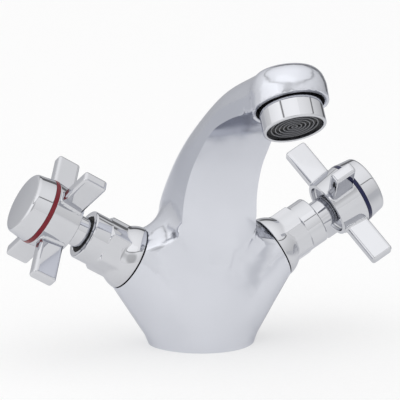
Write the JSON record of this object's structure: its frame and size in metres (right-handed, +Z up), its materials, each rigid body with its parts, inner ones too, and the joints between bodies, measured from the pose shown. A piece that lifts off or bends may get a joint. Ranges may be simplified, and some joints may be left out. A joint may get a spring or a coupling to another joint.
{
  "type": "bathroom mixer faucet",
  "caption": "Deck-mounted chrome basin mixer with an arched spout, an aerator, sloping side valves and cross handles that turn to open the hot and cold water.",
  "frame": {"origin": "middle of the round base on the deck, halfway between the stud holes", "axes": "+Z up from the deck, spout towards -Y, hot valve on the -X side, cold valve on the +X side"},
  "size_m": [0.1886, 0.1485, 0.1408],
  "materials": {
    "chrome_plated_brass": "polished",
    "bare_brass": "machined",
    "black_rubber": "matte",
    "black_nylon": "matte",
    "dark_acetal": "satin",
    "stainless_steel": "satin",
    "alumina": "lapped",
    "red_plastic": "glossy",
    "blue_plastic": "glossy"
  },
  "bodies": {
    "mixer_body": {"aerator_housing": "chrome_plated_brass", "aerator_insert": "dark_acetal", "aerator_screen": "stainless_steel", "aerator_washer": "black_rubber", "base_gasket": "black_rubber", "body": "chrome_plated_brass", "cold_fixed_disc": "alumina", "cold_guide_ring": "black_nylon", "cold_headwork": "bare_brass", "cold_joint_gasket": "black_rubber", "cold_seat_seal": "black_rubber", "cold_shroud_nut": "chrome_plated_brass", "hot_fixed_disc": "alumina", "hot_guide_ring": "black_nylon", "hot_headwork": "bare_brass", "hot_joint_gasket": "black_rubber", "hot_seat_seal": "black_rubber", "hot_shroud_nut": "chrome_plated_brass"},
    "hot_handle": {"hot_turning_disc": "alumina", "hot_spindle": "bare_brass", "hot_spindle_orings": "black_rubber", "hot_spindle_clip": "stainless_steel", "hot_handle_neck": "chrome_plated_brass", "hot_index_ring": "red_plastic", "hot_end_cap": "chrome_plated_brass", "hot_handle_screw": "stainless_steel", "hot_handle_cross": "chrome_plated_brass"},
    "cold_handle": {"cold_turning_disc": "alumina", "cold_spindle": "bare_brass", "cold_spindle_orings": "black_rubber", "cold_spindle_clip": "stainless_steel", "cold_handle_neck": "chrome_plated_brass", "cold_index_ring": "blue_plastic", "cold_end_cap": "chrome_plated_brass", "cold_handle_screw": "stainless_steel", "cold_handle_cross": "chrome_plated_brass"}
  },
  "joints": [
    {"name": "hot_handle_turn", "type": "hinge", "parent": "mixer_body", "child": "hot_handle", "pos_m": [0, 0, 0.02225], "axis": [-0.866, 0, 0.5], "range_deg": [0, 180]},
    {"name": "cold_handle_turn", "type": "hinge", "parent": "mixer_body", "child": "cold_handle", "pos_m": [0, 0, 0.02225], "axis": [0.866, 0, 0.5], "range_deg": [0, 180]}
  ]
}
